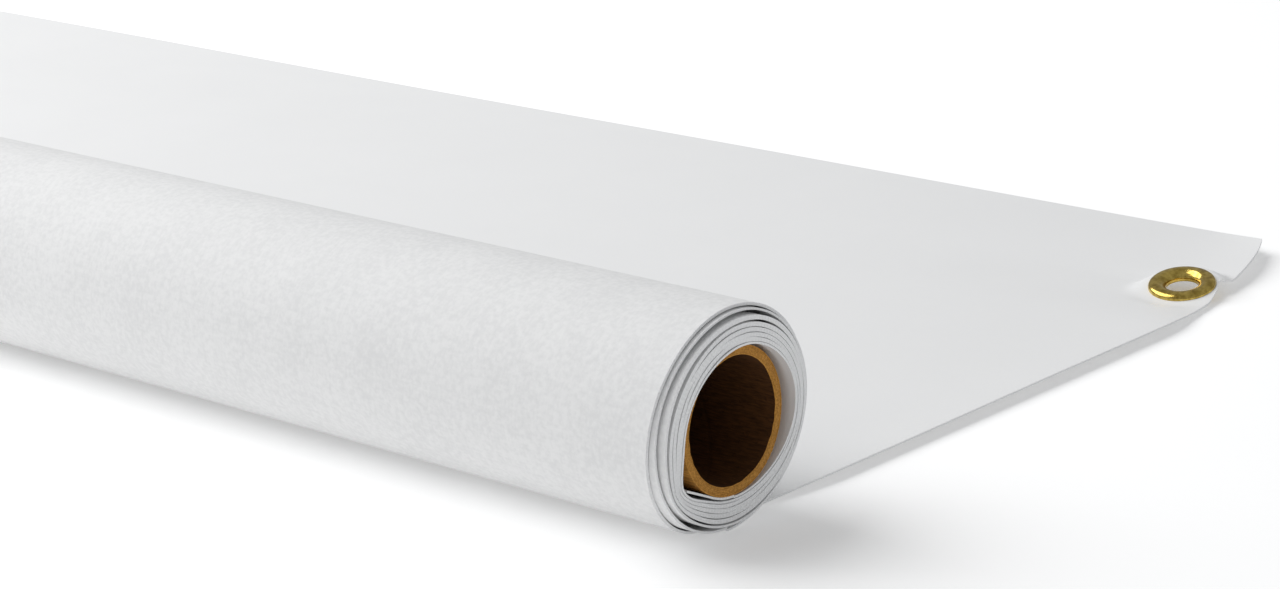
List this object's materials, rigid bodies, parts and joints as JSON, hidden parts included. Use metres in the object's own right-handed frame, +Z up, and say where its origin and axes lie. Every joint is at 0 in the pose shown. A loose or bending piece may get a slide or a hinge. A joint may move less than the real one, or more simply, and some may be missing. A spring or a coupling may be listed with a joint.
{
  "type": "roll of sign vinyl",
  "caption": "Roll of white scrim banner vinyl on a kraft paper core, partly unrolled, with a brass grommet at each corner of its free end.",
  "frame": {"origin": "centre of the core's bore, halfway along it", "axes": "+X along the roll's axis to its square-cut end, +Y along the unrolled tail to its free edge, +Z up"},
  "size_m": [0.9244, 0.3895, 0.068],
  "materials": {
    "banner_vinyl": "matte white film with a fine woven grain",
    "kraft_board": "raw brown paper board",
    "grommet_brass": "polished pressed sheet"
  },
  "bodies": {
    "sheet": {"tail_sheet": "banner_vinyl", "right_eyelet": "grommet_brass", "right_washer": "grommet_brass", "left_eyelet": "grommet_brass", "left_washer": "grommet_brass"},
    "lead_wrap": {"lead_wrap": "banner_vinyl"},
    "winding": {"wrap_2": "banner_vinyl", "wrap_3": "banner_vinyl", "wrap_4": "banner_vinyl", "wrap_5": "banner_vinyl", "wrap_6": "banner_vinyl", "wrap_7": "banner_vinyl", "wrap_8": "banner_vinyl", "start_flap": "banner_vinyl"},
    "core": {"core_liner_ply": "kraft_board", "core_body_plies": "kraft_board", "core_face_ply": "kraft_board"}
  },
  "joints": [
    {"name": "roll_travel", "type": "slide", "parent": "sheet", "child": "lead_wrap", "axis": [0, 1, 0], "range_m": [-0.2097, 0.175]},
    {"name": "roll_turn", "type": "hinge", "parent": "lead_wrap", "child": "winding", "pos_m": [0, 0, 0], "axis": [1, 0, 0], "range_deg": [-302, 362]},
    {"name": "core_pull", "type": "slide", "parent": "winding", "child": "core", "axis": [1, 0, 0], "range_m": [0, 0.94]}
  ],
  "couplings": [
    {"joint": "roll_turn", "follows": "roll_travel", "rad_per_m": -29.963}
  ]
}
